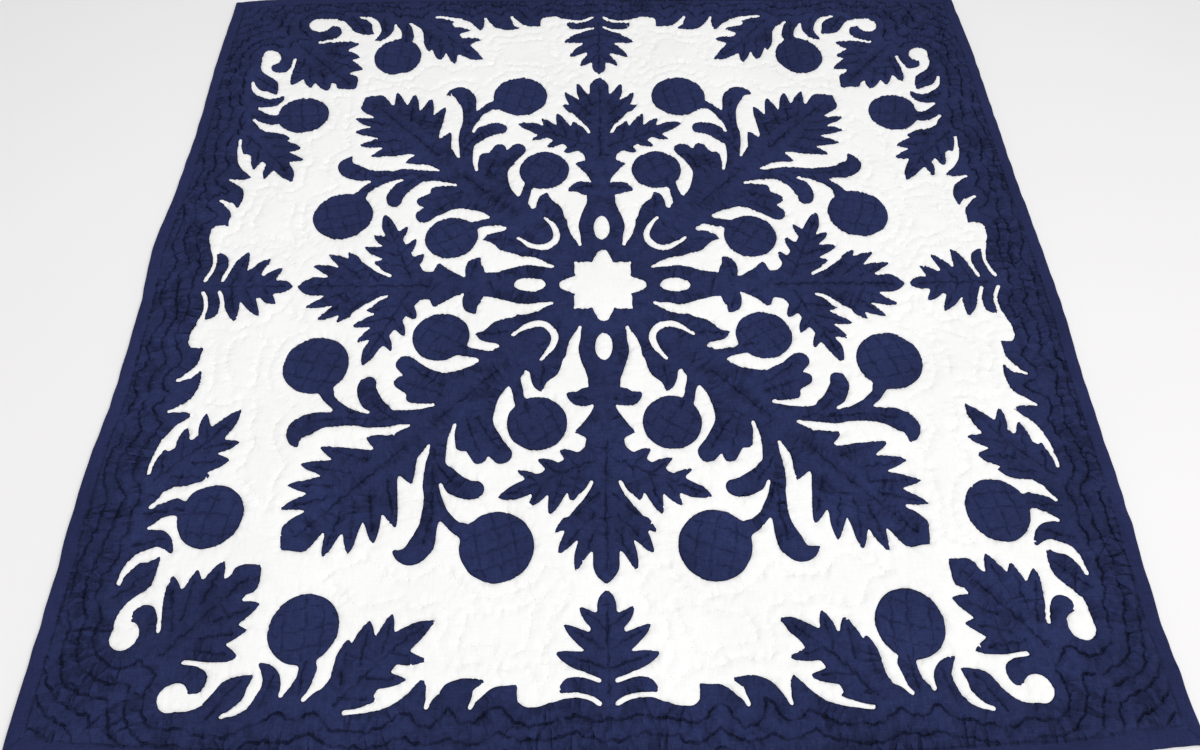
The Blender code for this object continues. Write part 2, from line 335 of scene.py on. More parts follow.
BORDER_LOBES = {
    "fold leaf": ((2, 403, 26.5, 383, 8, 2), (3, 424, 42.5, 399.5, 9, 2),
                  (2, 440, 50.5, 426.5, 10.5, 1)),
    "side leaf": ((206, 424, 169, 432.5, 7.5, -2), (228, 447, 186, 449.5, 9, -1),
                  (246, 464, 210.5, 467, 7.5, -1), (212, 425, 205, 388.5, 9, 1),
                  (230, 434, 226, 394.5, 12, 1), (246, 452, 243.5, 411.5, 9, 2)),
    "corner leaf": ((374, 392, 333.5, 377.5, 13, 0), (386, 408, 340.5, 402, 12, 0),
                    (396, 416, 344.5, 427, 13.5, 0)),
}
BORDER_CUTS = [
    [(52, 462, 5), (62, 465, 8), (75, 465, 9)],
    [(8, 452, 0.7), (18, 448, 1.8), (28, 445.5, 2.6), (40, 446, 3)],
    [(8, 472, 0.6), (16, 467.5, 1.5), (28, 464.3, 1.8), (40, 464.8, 1.9), (52, 467, 3.5)],
    [(112, 455, 3.6), (120.5, 463, 3.4), (125, 468.5, 2.2), (127.5, 474, 0.7)],
    [(155, 451, 4.5), (161.5, 461, 3.6), (165, 468, 2.2), (166.8, 473.5, 0.7)],
    [(176, 444, 3), (186, 456, 4.5), (199, 466, 4.5), (212, 471.5, 3.6), (227, 475.5, 2.2),
     (240, 477, 0.7)],
    [(323.3, 443, 1.8), (323, 454, 3.9), (328, 466, 4.6), (337, 474.5, 3.6), (349, 479, 0.8)],
    [(258, 428, 4), (262, 440, 6), (267.5, 452, 4.4), (273, 460.5, 2.2), (277.5, 465.5, 0.7)],
    [(291.5, 438, 5), (293.8, 449, 4.8), (298.5, 461.5, 0.7)],
    # the curl that ends in a round eye
    [(344, 436, 4), (357, 444.5, 5), (366, 457, 5), (374.5, 465.8, 4.9), (386, 469.8, 3.6),
     (394, 467, 5)],
    [(397, 460.5, 13.2), (398, 460.5, 13.2)],
    [(350, 435, 4), (366, 434.5, 3.8), (380, 431, 2), (396, 428, 0.7)],
]

along_fold, across_fold = np.meshgrid(*[np.arange(FOLD + 1.0)] * 2, indexing="ij")


def smooth_path(rows, steps):
    """The smooth line through a stroke's rows, with its half widths."""
    rows = np.array(rows, float)
    ends = np.vstack([2 * rows[0] - rows[1], rows, 2 * rows[-1] - rows[-2]])
    t = np.linspace(0, 1, steps, endpoint=False)[:, None]
    parts = [b + t * (c - a) / 2 + t ** 2 * (a - 2.5 * b + 2 * c - d / 2)
             + t ** 3 * (1.5 * (b - c) + (d - a) / 2)
             for a, b, c, d in zip(ends, ends[1:], ends[2:], ends[3:])]
    return np.vstack(parts + [rows[-1:]])


def stroke(rows, thinnest=0.3, steps=8):
    """How far each place lies outside a stroke of varying width, and below 0 inside it."""
    path = smooth_path(rows, steps)
    path[:, 2] = np.maximum(path[:, 2], thinnest)
    reach = path[:, 2].max() + 12
    low = np.floor(path[:, :2].min(0) - reach).astype(int).clip(0, FOLD)
    high = np.ceil(path[:, :2].max(0) + reach).astype(int).clip(0, FOLD)
    part = np.s_[low[1]:high[1] + 1, low[0]:high[0] + 1]
    u, v = across_fold[part], along_fold[part]
    nearest, outside = np.full(u.shape, 1e9), np.full(u.shape, FAR)
    for (u0, v0, r0), (u1, v1, r1) in zip(path, path[1:]):
        run = (u1 - u0) ** 2 + (v1 - v0) ** 2 + 1e-9
        t = (((u - u0) * (u1 - u0) + (v - v0) * (v1 - v0)) / run).clip(0, 1)
        away = np.hypot(u - u0 - t * (u1 - u0), v - v0 - t * (v1 - v0))
        nearer = away < nearest
        nearest = np.where(nearer, away, nearest)
        outside = np.where(nearer, away - r0 - t * (r1 - r0), outside)
    field = np.full(across_fold.shape, FAR)
    field[part] = np.minimum(outside, FAR)
    return field


def lobe(u0, v0, u1, v1, width, bend):
    """A leaf's pointed lobe, as the rows of a stroke."""
    t = np.linspace(0, 1, 9)
    sway = bend * np.sin(np.pi * t) / math.hypot(u1 - u0, v1 - v0)
    return np.column_stack([u0 + t * (u1 - u0) - sway * (v1 - v0),
                            v0 + t * (v1 - v0) + sway * (u1 - u0),
                            width * (1 - t ** 2) ** 0.8 + 0.5])


def joined(a, b, round_over):
    """Two shapes in one, the corner between them rounded."""
    h = (0.5 + 0.5 * (b - a) / round_over).clip(0, 1)
    return b + (a - b) * h - round_over * h * (1 - h)


def on_diagonal(rows):
    """Strokes on the diagonal, from (distance, half width)."""
    return [(s / math.sqrt(2), s / math.sqrt(2), r) for s, r in rows]


def blurred(field, spread, reach=4):
    """The field with its kinks softened, as a turned edge of cloth softens them."""
    weights = np.exp(-0.5 * (np.arange(-reach, reach + 1) / spread) ** 2)
    for axis in (0, 1):
        wide = np.pad(field, reach, mode="reflect")
        wide = sum(w * np.roll(wide, reach - k, axis) for k, w in enumerate(weights / weights.sum()))
        field = wide[reach:-reach, reach:-reach]
    return field


def all_lobes(leaves):
    """Every lobe of a set of leaves."""
    return [lobe(*row) for rows in leaves.values() for row in rows]


THINNEST = {+1: 0.3, -1: 2.0}  # a slit's edge is turned under round its end, so it is never a point
cut = np.full(across_fold.shape, FAR)  # below 0 where the navy cloth is left
shapes = [(+1, 2.5, row) for row in MEDALLION_FILL + [on_diagonal(TRUNK)]]
shapes += [(+1, 1.2, row) for row in all_lobes(MEDALLION_LOBES)]
shapes += [(+1, 0.6, row) for row in MEDALLION_WEBS] + [(-1, 1.0, row) for row in MEDALLION_CUTS]
shapes += [(+1, 1.0, row) for row in FLAME_FILL] + [(-1, 1.0, row) for row in SLIT_CUTS]
border_shapes = [(+1, 1.5, row) for row in BORDER_FILL + [on_diagonal(CORNER)]]
border_shapes += [(+1, 1.2, row) for row in all_lobes(BORDER_LOBES)]
border_shapes += [(-1, 0.5, row) for row in BORDER_CUTS]
for sign, round_over, row in shapes:
    cut = sign * joined(sign * cut, stroke(row, THINNEST[sign]), round_over)
seed = np.hypot(across_fold / SEED[1], (along_fold - SEED[0]) / SEED[2]) * SEED[1] - SEED[1]
cut = -joined(-cut, seed, 1.0)
cut = joined(cut, BORDER_STARTS - along_fold, 0.3)
for sign, round_over, row in border_shapes:
    cut = sign * joined(sign * cut, stroke(row, THINNEST[sign]), round_over)
for u, v, radius in BREADFRUIT.values():
    cut = joined(cut, np.hypot(across_fold - u, along_fold - v) - radius, 2.5)
cut = blurred(np.where(across_fold <= along_fold, cut, cut.T), 1.0)

# The cloth is opened out and laid on the white one, where it never lands quite true: it was
# eased outwards along the back and at some corners, and its edge wavers from stitch to stitch.
CELL = 1.25
EDGE_WAVER, EDGE_WAVER_LENGTH = 0.22, 17
LIE_WAVER, LIE_WAVER_LENGTH = 0.6, 330
EASED = (  # x, y, its reach along x and along y, and how far the cloth is eased along x and y
    (0, 500, 700, 80, 0, 20),  # the back edge, drawn outwards
    (-450, 470, 80, 60, -15, 5),  # the back left corner, outwards
    (480, 350, 60, 90, 0, 10),  # the sides, towards the back
    (-490, 350, 60, 90, -5, 5),
    (-490, 100, 60, 70, -10, 10),
    (490, 100, 60, 70, 5, 10),
    (-470, -400, 80, 80, 5, -10),  # the front corners, in from the sides and out to the front
    (470, -400, 80, 80, -10, -10),
)


def drift(x, y):
    """How far the laid cloth lies from where a true copy of the fold would be."""
    out = [LIE_WAVER * waver(x, y, LIE_WAVER_LENGTH, seed) + EDGE_WAVER * waver(
        x, y, EDGE_WAVER_LENGTH, seed + 1) for seed in (3, 5)]
    for px, py, wide, deep, *eased in EASED:
        here = np.exp(-((x - px) / wide) ** 2 - ((y - py) / deep) ** 2)
        out = [value + here * move for value, move in zip(out, eased)]
    return out


def sampled(field, x, y, x0, y0, cell):
    """A grid's values between its points."""
    column, row = (x - x0) / cell, (y - y0) / cell
    c = np.floor(column).astype(int).clip(0, field.shape[1] - 2)
    r = np.floor(row).astype(int).clip(0, field.shape[0] - 2)
    fc, fr = (column - c).clip(0, 1), (row - r).clip(0, 1)
    return ((field[r, c] * (1 - fc) + field[r, c + 1] * fc) * (1 - fr)
            + (field[r + 1, c] * (1 - fc) + field[r + 1, c + 1] * fc) * fr)


def folded(x, y):
    """The place in the folded eighth, (across, along), that a place on the quilt was cut at."""
    dx, dy = drift(x, y)
    across, along = np.abs(x - CENTRE[0] - dx), np.abs(y - CENTRE[1] - dy)
    return np.minimum(across, along), np.maximum(across, along)


columns = np.arange(-HALF_WIDTH - 20, HALF_WIDTH + 20, CELL)
lines_up = np.arange(-HALF_LENGTH - 20, HALF_LENGTH + 20, CELL)
grid_x, grid_y = np.meshgrid(columns, lines_up)
grid_across, grid_along = folded(grid_x, grid_y)
navy_here = sampled(cut, grid_across, grid_along, 0, 0, 1.0)


def level_lines(field, x0, y0, cell, level=0.0):
    """The level lines of a grid as (points, closed), walked from cell to cell."""
    f = field - level
    f[f == 0] = 1e-9
    low = f < 0
    flat_edge, tall_edge = low[:, :-1] != low[:, 1:], low[:-1] != low[1:]
    flat_number, tall_number = np.full(flat_edge.shape, -1), np.full(tall_edge.shape, -1)
    flat_number[flat_edge] = np.arange(flat_edge.sum())
    tall_number[tall_edge] = flat_edge.sum() + np.arange(tall_edge.sum())
    r, c = np.nonzero(flat_edge)
    flat_points = np.column_stack([x0 + cell * (c + f[r, c] / (f[r, c] - f[r, c + 1])), y0 + cell * r])
    r, c = np.nonzero(tall_edge)
    tall_points = np.column_stack([x0 + cell * c, y0 + cell * (r + f[r, c] / (f[r, c] - f[r + 1, c]))])
    points = np.vstack([flat_points, tall_points])
    around = np.stack([flat_number[:-1], tall_number[:, 1:], flat_number[1:], tall_number[:, :-1]], -1)
    crossed = (around >= 0).sum(-1)
    pairs = [around[crossed == 2][around[crossed == 2] >= 0].reshape(-1, 2)]
    middle = (f[:-1, :-1] + f[1:, :-1] + f[:-1, 1:] + f[1:, 1:]) < 0
    four = crossed == 4
    same = four & (middle == low[:-1, :-1])
    other = four & ~same
    pairs += [around[same][:, [0, 1]], around[same][:, [2, 3]],
              around[other][:, [0, 3]], around[other][:, [1, 2]]]
    links = np.vstack(pairs)
    links = np.vstack([links, links[:, ::-1]])
    links = links[np.argsort(links[:, 0], kind="stable")]
    starts = np.searchsorted(links[:, 0], np.arange(len(points) + 1))
    following = links[:, 1].tolist()
    ways = np.diff(starts)
    starts = starts.tolist()
    walked = [False] * len(points)
    found = []
    for start in np.concatenate([np.nonzero(ways == 1)[0], np.nonzero(ways == 2)[0]]).tolist():
        if walked[start]:
            continue
        line, here = [], start
        while here is not None:
            walked[here] = True
            line.append(here)
            here = next((n for n in following[starts[here]:starts[here + 1]] if not walked[n]), None)
        found.append((points[line], ways[start] == 2))
    return found


def even_steps(line, step, closed):
    """A line's points again, an even step apart."""
    if closed:
        line = np.vstack([line, line[:1]])
    lengths = np.concatenate([[0], np.hypot(*np.diff(line, axis=0).T).cumsum()])
    count = max(round(lengths[-1] / step), 3 if closed else 1)
    marks = np.linspace(0, lengths[-1], count + 1)
    points = np.column_stack([np.interp(marks, lengths, line[:, k]) for k in (0, 1)])
    return points[:-1] if closed else points


OUTLINE_STEP = 1.7
SHORTEST_EDGE = 12  # in places of the grid, so no speck of cloth is kept
MEDALLION_ENDS = (331, 364.5)  # the farthest across and along of what the medallion holds
cut_edges = [even_steps(line, OUTLINE_STEP, True)
             for line, closed in level_lines(navy_here, columns[0], lines_up[0], CELL)
             if len(line) > SHORTEST_EDGE]


def in_medallion(x, y):
    """True where navy cloth would be part of the medallion, not of the border."""
    across, along = folded(x, y)
    return (across < MEDALLION_ENDS[0]) & (along < MEDALLION_ENDS[1])


medallion_edges = [line for line in cut_edges if in_medallion(*line.mean(0)) and in_medallion(*line[0])]
border_edges = [line for line in cut_edges if not in_medallion(*line[0])]

# ---- The rows of quilting -------------------------------------------------------------------
# All layers are sewn through by hand: beside each edge of the navy cloth, along the veins of
# the leaves, crosswise over the breadfruit, and then in rows a finger's width apart that echo
# those lines outwards, over the white cloth and out to the binding.
ROW_APART = 14.6
STITCH_PITCH = 5.5  # a stitch on top and the gap before the next
LINE_STEP = 2.0
VEIN_REACH = 0.72  # how far up a lobe its vein is sewn
ROW_WAVER, ROW_WAVER_LENGTH = 2.2, 44
ROUNDED = 5  # how far the rows cut their corners
SHORTEST_RING, SHORTEST_ROW = 80, 8  # in places of the grid, about 2 mm each
FLOWER_REACH = 58  # the white flower in the middle is left plain
EDGE_SEWN_INSIDE, SEAM_INSIDE = 17, 15.8  # the last stitches are taken beside the binding
VEIN_CLEAR = 3.5
MIDRIBS = (
    ((0, 208), (0, 345)), ((10, 228), (40, 241), (75, 257), (100, 267)),
    ((212, 212), (312, 312)), ((120, 120), (180, 180)), ((0, 378), (0, 462)),
    ((176, 402), (205, 424), (248, 470)), ((350, 350), (420, 420)),
    ((138, 178), (112, 216)), ((148, 178), (134, 218)), ((96, 130), (84, 172)),
    ((150, 303), (170, 275), (180, 240)), ((158, 254), (176, 232), (186, 205)),
    ((182, 318), (177, 290), (180, 235)), ((12, 158), (34, 152)), ((66, 96), (70, 138)),
    ((280, 432), (284, 470)), ((308, 442), (316, 474)), ((338, 447), (362, 480)),
)
HATCH_OFFSETS = (-17, 0, 16)
HATCH_TURNS = {"inner": 35, "middle": 20, "border": 12}  # degrees from across the fold
HATCH_BOW, HATCH_CLEAR = 2.5, 1.5
HATCH_CROSSING = 82  # degrees between the two sets


def hatched(u, v, radius, turn):
    """Two sets of slightly bowed rows that cross over a breadfruit."""
    rows = []
    for angle in (math.radians(turn), math.radians(turn + HATCH_CROSSING)):
        for offset in HATCH_OFFSETS:
            half = math.sqrt(radius ** 2 - offset ** 2) - HATCH_CLEAR
            t = np.linspace(-half, half, 9)
            bowed = offset + HATCH_BOW * (1 - (t / half) ** 2) * (1 if offset >= 0 else -1)
            rows.append(np.column_stack([u + t * math.cos(angle) - bowed * math.sin(angle),
                                         v + t * math.sin(angle) + bowed * math.cos(angle)]))
    return rows


def opened_out(rows):
    """A line of the folded cut in each of the eight places that it opens out to."""
    copies = []
    for swap in (False, True):
        for sx in (1, -1):
            for sy in (1, -1):
                if swap and np.allclose(rows[:, 0], rows[:, 1]) or sx < 0 and np.allclose(rows[:, 0], 0):
                    continue
                line = (rows[:, ::-1] if swap else rows) * ((sy, sx) if swap else (sx, sy)) + CENTRE
                eased = 0
                for _ in range(3):
                    eased = np.column_stack(drift(*(line + eased).T))
                copies.append(line + eased)
    return copies


# Each line is kept as its points, whether it is a ring, and how deep it draws the cloth down.
OUTLINE_DEPTH, SEAM_DEPTH, VEIN_DEPTH, HATCH_DEPTH, ROW_DEPTH = 0.55, 0.5, 0.68, 0.42, 1.0
ON_WHITE = 0.5  # a row is drawn less tight where there is no navy cloth under it
JOG, JOG_LENGTH = 1.0, 11


def jogged(line):
    """A line sewn by eye, a stitch or two at a time."""
    return line + np.column_stack([JOG * waver(*line.T, JOG_LENGTH, seed) for seed in (31, 32)])


veins = [np.array(row, float) for row in MIDRIBS]
for leaves in (MEDALLION_LOBES, BORDER_LOBES):
    for rows in leaves.values():
        veins += [np.array([(u0, v0), (u0 + VEIN_REACH * (u1 - u0), v0 + VEIN_REACH * (v1 - v0))])
                  for u0, v0, u1, v1, _, _ in rows]
sewn = [(line, True, OUTLINE_DEPTH) for line in cut_edges]
for depth, rows in ((VEIN_DEPTH, veins), (HATCH_DEPTH, [
        row for name, (u, v, radius) in BREADFRUIT.items()
        for row in hatched(u, v, radius, HATCH_TURNS[name])])):
    sewn += [(jogged(even_steps(line, LINE_STEP, False)), False, depth)
             for row in rows for line in opened_out(row)]


def tree_of(points):
    """A search tree of points on the cloth."""
    tree = kdtree.KDTree(len(points))
    for k, (x, y) in enumerate(points.tolist()):
        tree.insert((x, y, 0), k)
    tree.balance()
    return tree


def nearest(tree, x, y):
    """The distance to, and the number of, the nearest point of a tree from each place."""
    found = [tree.find((px, py, 0)) for px, py in zip(x.ravel().tolist(), y.ravel().tolist())]
    return (np.array([f[2] for f in found]).reshape(x.shape),
            np.array([f[1] for f in found]).reshape(x.shape))


def evened(field, times):
    """A grid with its values softened into their neighbours."""
    for _ in range(times):
        for way in (0, 1):
            field = (2 * field + np.roll(field, 1, way) + np.roll(field, -1, way)) / 4
    return field


coarse = 2  # the rows are smooth, so their distances are worked out on every other grid place
far_x, far_y = grid_x[::coarse, ::coarse], grid_y[::coarse, ::coarse]
row_distance, _ = nearest(tree_of(np.vstack([line for line, _, _ in sewn])), far_x, far_y)
row_distance = evened(row_distance + ROW_WAVER * waver(far_x, far_y, ROW_WAVER_LENGTH, 8),
                      ROUNDED)
for number in range(1, int(row_distance.max() / ROW_APART) + 1):
    for line, closed in level_lines(row_distance, columns[0], lines_up[0], CELL * coarse,
                                    number * ROW_APART):
        if len(line) > (SHORTEST_RING if closed else SHORTEST_ROW):
            sewn.append((jogged(even_steps(line, LINE_STEP, closed)), closed, ROW_DEPTH))


def cut_at(x, y):
    """Below 0 where the navy cloth is, in mm from its cut edge."""
    return sampled(navy_here, x, y, columns[0], lines_up[0], CELL)


def runs_inside(line, closed, depth):
    """The parts of a line that lie inside the binding and, for veins, clear of the cut edge."""
    inside = inset_at(*line.T) > EDGE_SEWN_INSIDE
    if depth in (VEIN_DEPTH, HATCH_DEPTH):
        inside &= cut_at(*line.T) < -VEIN_CLEAR
    if depth == ROW_DEPTH:
        inside &= (np.hypot(*(line - CENTRE).T) > FLOWER_REACH) | (cut_at(*line.T) < 0)
    if inside.all():
        return [(line, closed, depth)]
    breaks = np.nonzero(np.diff(inside.astype(int)))[0] + 1
    parts = np.split(np.arange(len(line)), breaks)
    return [(line[part], False, depth) for part in parts if inside[part[0]] and len(part) > 4]


sewn = [part for line in sewn for part in runs_inside(*line)]
sewn.append((edge_line(SEAM_INSIDE, LINE_STEP), True, SEAM_DEPTH))
sewn_points = np.vstack([line for line, _, _ in sewn])
TIGHTNESS, TIGHTNESS_UNEVEN, TIGHTNESS_LENGTH, TIGHTNESS_RANGE = 0.93, 0.45, 28, (0.25, 1.3)
TURN_SPREAD = 8
LINE_GAP = 731.0  # each line's run starts this much farther on, so no two are stitched alike
sewn_run = np.concatenate([np.arange(len(line)) * LINE_STEP + k % 30 * LINE_GAP
                           for k, (line, _, _) in enumerate(sewn)])
heading = np.vstack([np.roll(line, -1, 0) - np.roll(line, 1, 0) if closed
                     else np.gradient(line, axis=0) for line, closed, _ in sewn])
heading = 2 * np.arctan2(heading[:, 1], heading[:, 0])
sewn_depth = np.concatenate([np.full(len(line), depth) for line, _, depth in sewn])
tight = TIGHTNESS + TIGHTNESS_UNEVEN * waver(*sewn_points.T, TIGHTNESS_LENGTH, 33)
sewn_depth = sewn_depth * tight.clip(*TIGHTNESS_RANGE)
sewn_depth = sewn_depth * np.interp(cut_at(*sewn_points.T), (0, 9), (1, ON_WHITE))
sewn_tree = tree_of(sewn_points)
# which way the rows run, as the cosine and sine of twice its angle, changing gradually
_, far_which = nearest(sewn_tree, far_x, far_y)
far_turn = [evened(way(heading)[far_which], TURN_SPREAD) for way in (np.cos, np.sin)]


def turn_at(x, y):
    """Which way the rows run at a place."""
    turn = [sampled(way, x, y, columns[0], lines_up[0], CELL * coarse) for way in far_turn]
    return np.column_stack(turn + [0 * x])


edge_tree = tree_of(np.vstack(cut_edges))

# ---- The white cloth and its wadding --------------------------------------------------------
# A whole cloth of bleached cotton over thin cotton wadding. It puffs up between the rows of
# stitches, is pinched along them, and puckers across them where the thread is drawn tight.
STITCHED, PUFFED, DITCH = 4.1, 7.2, 5.0  # heights on a row, between rows and beside the binding
HALF_ROW = 7.6
PUCKERS = ((6.1, 0.4), (8.3, 2.2), (12.2, 4.4), (18.7, 1.1))  # length along the row and phase
PUCKER_RISE, PUCKER_REACH, PUCKER_PEAK, PUCKER_MOST = 1.0, 5.2, 2.8, 2.2
PINCH, PINCH_REACH = 0.25, 1.6  # of each stitch
PUFF_CURVE = 2.2
PUFF_LEVEL, PUFF_UNEVEN, PUFF_LENGTH = 0.88, 0.14, 55
DITCH_UNEVEN, DITCH_LENGTH = 0.25, 12
BODY_INSET, BINDING_WIDTH = 13.6, 15.0
DITCH_REACH = 9.0


def surface_of(x, y, away=None, run=None, depth=1.0):
    """The quilted surface: its height, and what is known of the nearest row of stitches."""
    values = {}
    if away is None:
        away, which = nearest(sewn_tree, x, y)
        run = sewn_run[which]
        depth = sewn_depth[which]
        values = dict(row_away=away, row_turn=turn_at(x, y), row_depth=depth)
    puffed = 1 - np.clip(depth, 0, 1) * (1 - np.clip(away / HALF_ROW, 0, 1)) ** PUFF_CURVE
    puffed *= PUFF_LEVEL + PUFF_UNEVEN * waver(x, y, PUFF_LENGTH, 21)
    rise = swell(x, y)
    z = STITCHED + 0.5 * rise + (PUFFED - STITCHED + 0.5 * rise) * puffed
    drawn = sum(np.sin(2 * np.pi * run / length + phase + 0.2 * away) for length, phase in PUCKERS)
    drawn = np.clip(drawn, -PUCKER_MOST, PUCKER_MOST) * np.clip(depth, 0, 1) ** 1.5
    z += PUCKER_RISE * drawn * np.exp(-((away - PUCKER_PEAK) / PUCKER_REACH) ** 2)
    z -= PINCH * np.cos(2 * np.pi * run / STITCH_PITCH) * np.exp(-(away / PINCH_REACH) ** 2)
    share = np.clip((inset_at(x, y) - BINDING_WIDTH) / DITCH_REACH, 0, 1)
    share = share * share * (3 - 2 * share)
    edge = DITCH + DITCH_UNEVEN * waver(x, y, DITCH_LENGTH, 23)
    return edge + (z - edge) * share, values


def hex_places(step):
    """Places an even step apart all over the quilt, in rows set half a step over."""
    rows = np.arange(-HALF_LENGTH, HALF_LENGTH, step * math.sqrt(3) / 2)
    places = np.arange(-HALF_WIDTH, HALF_WIDTH, step)
    x, y = np.meshgrid(places, rows)
    x = x + (np.arange(len(rows)) % 2)[:, None] * step / 2
    return x.ravel(), y.ravel()


def cloth_faces(loops, loose):
    """Triangles within closed loops, whose edges are kept, through these and loose points."""
    edges, count = [], 0
    for loop in loops:
        edges += [(count + k, count + (k + 1) % len(loop)) for k in range(len(loop))]
        count += len(loop)
    points = np.vstack(list(loops) + [loose])
    verts, _, faces, *_ = geometry.delaunay_2d_cdt([Vector(p) for p in points.tolist()], edges,
                                                   [], 1, 1e-5)
    return np.array([v[:] for v in verts]), np.array(faces)


def piece_from(name, x, y, z, faces, values=None):
    """A mesh object from places in mm, smooth shaded, with values kept at its points."""
    mesh = bpy.data.meshes.new(name)
    mesh.vertices.add(len(x))
    mesh.vertices.foreach_set("co", (np.column_stack([x, y, z]) * 0.001).astype(np.float32).ravel())
    faces = np.asarray(faces, np.int32)
    mesh.loops.add(faces.size)
    mesh.loops.foreach_set("vertex_index", faces.ravel())
    mesh.polygons.add(len(faces))
    mesh.polygons.foreach_set("loop_start", np.arange(0, faces.size, faces.shape[1], dtype=np.int32))
    mesh.update(calc_edges=True)
    mesh.shade_smooth()
    for key, value in (values or {}).items():
        kind, field = ("FLOAT_VECTOR", "vector") if value.ndim == 2 else ("FLOAT", "value")
        mesh.attributes.new(key, kind, "POINT").data.foreach_set(field, value.astype(np.float32).ravel())
    piece = bpy.data.objects.new(name, mesh)
    bpy.context.scene.collection.objects.link(piece)
    return piece


def tidy_faces(x, y, faces, keep=None):
    """The faces whose middles are kept, turned to face up, and the points that they use."""
    if keep:
        faces = faces[keep(x[faces].mean(1), y[faces].mean(1))]
    a, b, c = (np.column_stack([x, y])[faces[:, k]] for k in range(3))
    turned = (b[:, 0] - a[:, 0]) * (c[:, 1] - a[:, 1]) - (b[:, 1] - a[:, 1]) * (c[:, 0] - a[:, 0])
    faces = faces[np.abs(turned) > 1e-7]
    turned = turned[np.abs(turned) > 1e-7]
    faces[turned < 0] = faces[turned < 0][:, ::-1]
    used, faces = np.unique(faces, return_inverse=True)
    return used, faces.reshape(-1, 3), np.abs(turned).sum() / 2


LOOSE_CLEAR = 1.0  # so that no two places of a mesh lie too near each other


def loose_places(step, wanted):
    """Mesh places of a cloth: along the rows of stitches, and evenly spread between them."""
    x, y = hex_places(step)
    away, _ = nearest(sewn_tree, x, y)
    keep = (away > LOOSE_CLEAR) & wanted(x, y)
    sx, sy = sewn_points.T
    from_edge, _ = nearest(edge_tree, sx, sy)
    on_row = (from_edge > LOOSE_CLEAR) & wanted(sx, sy)
    return np.vstack([np.column_stack([x[keep], y[keep]]), sewn_points[on_row]])


def on_white(x, y):
    """True where the white cloth shows."""
    return (cut_at(x, y) > 0.5) & (inset_at(x, y) > BODY_INSET + 1)


def hidden_by_navy(x, y):
    """True well under the navy cloth, where the white one needs few points."""
    return (cut_at(x, y) < -4) & (inset_at(x, y) > BODY_INSET + 4)


WHITE_STEP, HIDDEN_STEP, RIM_STEP = 2.85, 10, 6
body_rim = edge_line(BODY_INSET, RIM_STEP)
hidden_x, hidden_y = hex_places(HIDDEN_STEP)
hidden = hidden_by_navy(hidden_x, hidden_y)
# under the veins of narrow leaves too, so that it stays below the navy cloth they draw down
depth_in = -cut_at(*sewn_points.T)
narrow = np.nonzero((depth_in > VEIN_CLEAR - 0.3) & (depth_in < 9))[0][::2]
white_points, white_faces = cloth_faces(cut_edges + [body_rim], np.vstack(
    [loose_places(WHITE_STEP, on_white), np.column_stack([hidden_x[hidden], hidden_y[hidden]]),
     sewn_points[narrow]]))
used, white_faces, _ = tidy_faces(*white_points.T, white_faces)
white_x, white_y = white_points[used].T
white_z, white_rows = surface_of(white_x, white_y)
HIDDEN_HEIGHT, FLAT_UNDER, DROPS_FROM = 1.9, 1.2, 3
dropped = cut_at(white_x, white_y) < -DROPS_FROM
white_z[dropped] = HIDDEN_HEIGHT + 0.5 * swell(white_x, white_y)[dropped]


def rim_of(faces):
    """The open edge of a sheet of faces, walked in order, with the faces on its left."""
    edges = np.vstack([faces[:, [0, 1]], faces[:, [1, 2]], faces[:, [2, 0]]])
    both = {(a, b) for a, b in edges.tolist()}
    onward = {a: b for a, b in both if (b, a) not in both}
    line = [next(iter(onward))]
    while onward[line[-1]] != line[0]:
        line.append(onward[line[-1]])
    return np.array(line)


rim = rim_of(white_faces)
lower = len(white_x) + np.arange(len(rim))
after, lower_after = np.roll(rim, -1), np.roll(lower, -1)
flat_points, flat_faces = cloth_faces([np.column_stack([white_x[rim], white_y[rim]])], np.zeros((0, 2)))
used, flat_faces, _ = tidy_faces(*flat_points.T, flat_faces)
ground_faces = np.vstack([white_faces, np.column_stack([after, rim, lower]),
                          np.column_stack([after, lower, lower_after]),
                          lower[used[flat_faces]][:, ::-1]])
white_ground = piece_from(
    "white_ground", np.append(white_x, white_x[rim]), np.append(white_y, white_y[rim]),
    np.append(white_z, np.full(len(rim), FLAT_UNDER)), ground_faces,
    {key: np.concatenate([value, value[rim]]) for key, value in white_rows.items()})


def maths(material, operation, *terms):
    """A sum or the like over terms, each a number or a (node, output)."""
    joined_up = [(k, *term) for k, term in enumerate(terms) if isinstance(term, tuple)]
    fixed = {"i%d" % k: term for k, term in enumerate(terms) if not isinstance(term, tuple)}
    return add_node(material, "Math", joined_up, operation=operation, **fixed), "Value"


def remapped(material, value, low, high, to_low=0.0, to_high=1.0, ease="LINEAR"):
    """A value from one range moved to another."""
    return add_node(material, "MapRange", [("Value", *value)], interpolation_type=ease, From_Min=low,
                    From_Max=high, To_Min=to_low, To_Max=to_high), "Result"


CREASE_WAYS = 6
CREASE_HALF = 0.11  # half the width of a crease, as a share of the noise that it follows
ROW_HALF_MM = 1.9
WEAVE_MM, WEAVE_RISE_MM = 0.9, 0.06
WAVE_BANDS = 20  # a wave texture's bands to a metre, at a scale of 1


